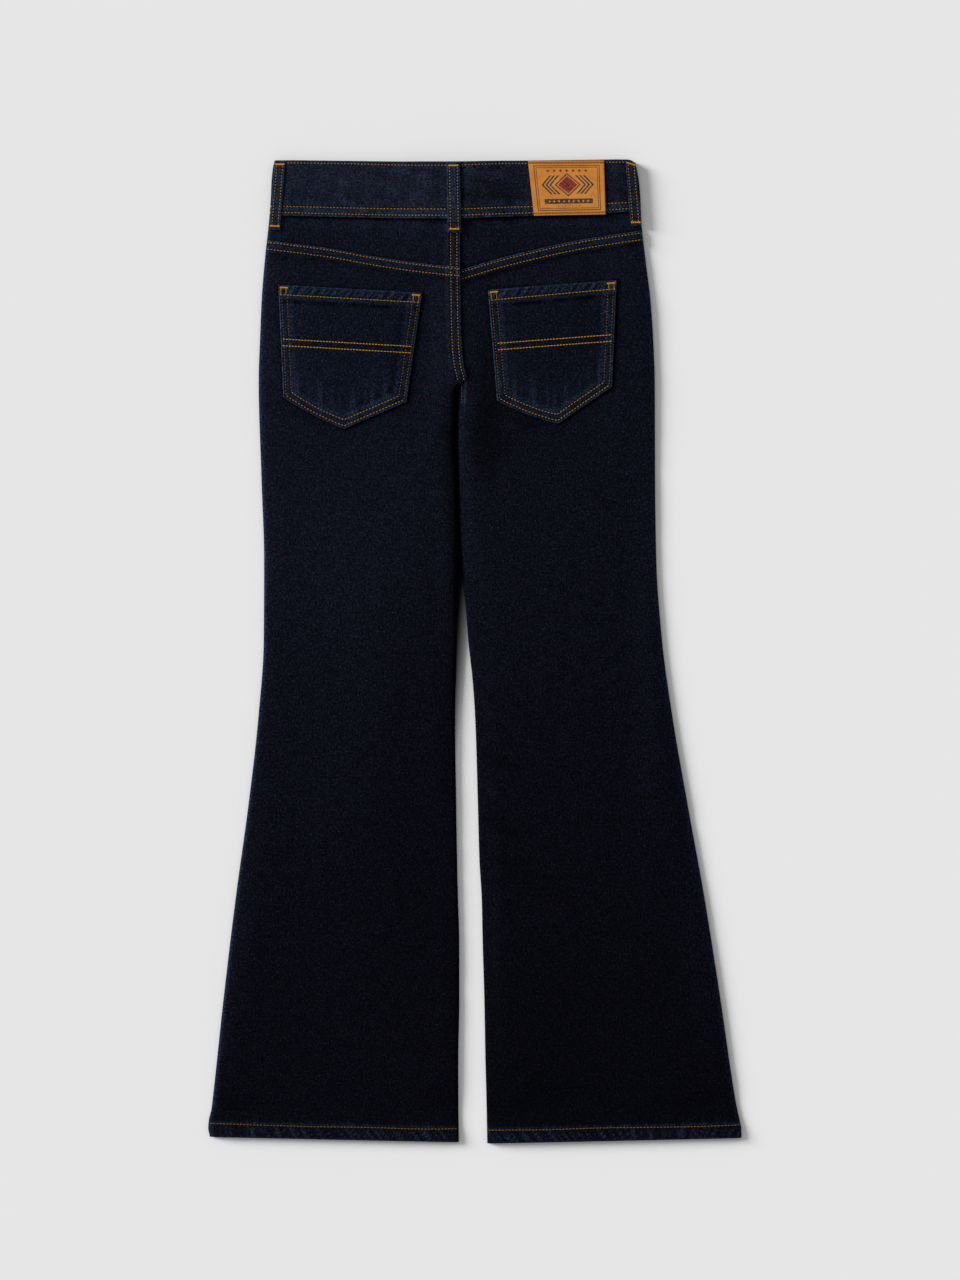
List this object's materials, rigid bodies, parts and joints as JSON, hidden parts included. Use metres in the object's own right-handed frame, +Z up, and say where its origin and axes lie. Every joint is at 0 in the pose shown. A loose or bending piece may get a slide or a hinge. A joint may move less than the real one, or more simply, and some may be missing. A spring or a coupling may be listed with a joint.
{
  "type": "flared jeans",
  "caption": "Child's flared denim jeans lying flat and back side up, with yokes, back patch pockets, belt loops, a waistband patch and turned-up hems.",
  "frame": {"origin": "on the surface the jeans lie on, below the middle of the whole garment's box", "axes": "+X to the wearer's right, which is to the right when seen from above, +Y from the hems to the waist, +Z up out of the surface, from the front of the jeans to their back"},
  "size_m": [0.4535, 0.8369, 0.0122],
  "materials": {
    "denim": "very dark blue-black rinsed twill, with a faint dry sheen and small lighter flecks",
    "denim_trim": "the same twill on waistband, loops and pockets, rubbed to a lighter blue along edges and seams",
    "leather_patch": "tan-orange stiff leather board with a pressed darker border, matt",
    "button_metal": "antique copper, brushed, darker in the recess",
    "thread": "golden brown to orange topstitch thread with a soft sheen, brighter at the bar tacks"
  },
  "bodies": {
    "root": {"back_leg_left": "denim", "back_leg_right": "denim", "front_leg_left": "denim", "front_leg_right": "denim", "yoke_left": "denim", "yoke_right": "denim", "waistband": "denim_trim", "pocket_left": "denim_trim", "pocket_right": "denim_trim", "belt_loop_back": "denim_trim", "belt_loop_side_left": "denim_trim", "belt_loop_side_right": "denim_trim", "belt_loop_front_left": "denim_trim", "belt_loop_front_right": "denim_trim", "patch": "leather_patch", "button": "button_metal"}
  },
  "joints": []
}
